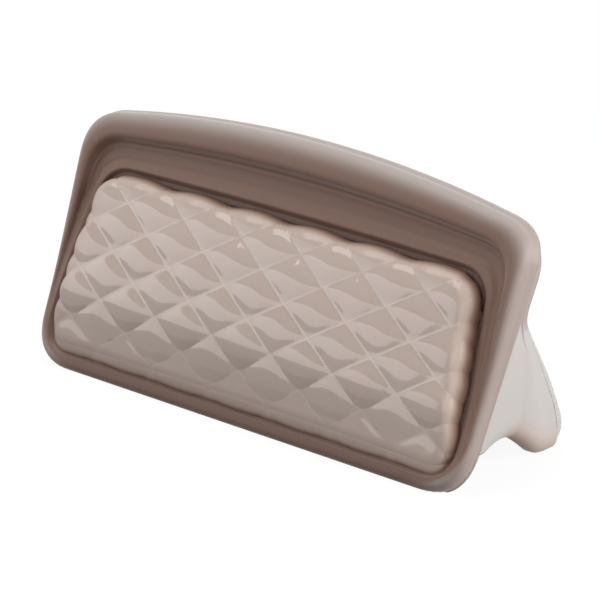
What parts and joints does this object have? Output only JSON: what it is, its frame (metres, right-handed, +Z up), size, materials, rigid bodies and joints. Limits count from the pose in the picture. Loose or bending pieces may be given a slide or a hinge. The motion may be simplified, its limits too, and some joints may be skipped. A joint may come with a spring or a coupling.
{
  "type": "reusable silicone bag",
  "caption": "Stand-up silicone storage bag with diamond-quilted walls, a thick arched lip over a press seal, tucked side webs and a folding base.",
  "frame": {"origin": "on the floor, midway between the two feet and under the line where the walls meet", "axes": "+X along the width to the right seen from the front, +Y from front to rear, +Z up"},
  "size_m": [0.195, 0.061, 0.0923],
  "materials": {
    "silicone_rim": "satin translucent silicone",
    "silicone_quilt": "satin translucent silicone, quilted",
    "silicone_seal": "satin silicone",
    "silicone_web": "smooth translucent silicone"
  },
  "bodies": {
    "bag_body": {"front_rim_lower": "silicone_rim", "front_quilt_lower": "silicone_quilt", "rear_rim_upper": "silicone_rim", "rear_quilt_upper": "silicone_quilt", "seal_track": "silicone_seal", "web_left": "silicone_web", "web_right": "silicone_web"},
    "mouth_flap": {"front_rim_upper": "silicone_rim", "front_quilt_upper": "silicone_quilt", "seal_rib": "silicone_seal"},
    "rear_leg": {"rear_rim_lower": "silicone_rim", "rear_quilt_lower": "silicone_quilt"},
    "base_front": {"gusset_front": "silicone_web"},
    "base_rear": {"gusset_rear": "silicone_web"}
  },
  "joints": [
    {"name": "mouth_open", "type": "hinge", "parent": "bag_body", "child": "mouth_flap", "pos_m": [0, -0.01128, 0.05701], "axis": [1, 0, 0], "range_deg": [0, 60]},
    {"name": "leg_fold", "type": "hinge", "parent": "bag_body", "child": "rear_leg", "pos_m": [0, 0, 0.05187], "axis": [-1, 0, 0], "range_deg": [0, 40], "deforming": ["web_left", "web_right"]},
    {"name": "base_front_fold", "type": "hinge", "parent": "bag_body", "child": "base_front", "pos_m": [0, -0.02139, 0.00227], "axis": [1, 0, 0], "range_deg": [0, 27]},
    {"name": "base_rear_fold", "type": "hinge", "parent": "rear_leg", "child": "base_rear", "pos_m": [0, 0.02139, 0.00227], "axis": [-1, 0, 0], "range_deg": [0, 27]}
  ],
  "couplings": [
    {"joint": "base_front_fold", "follows": "leg_fold", "ratio": 0.66},
    {"joint": "base_rear_fold", "follows": "leg_fold", "ratio": 0.66}
  ]
}
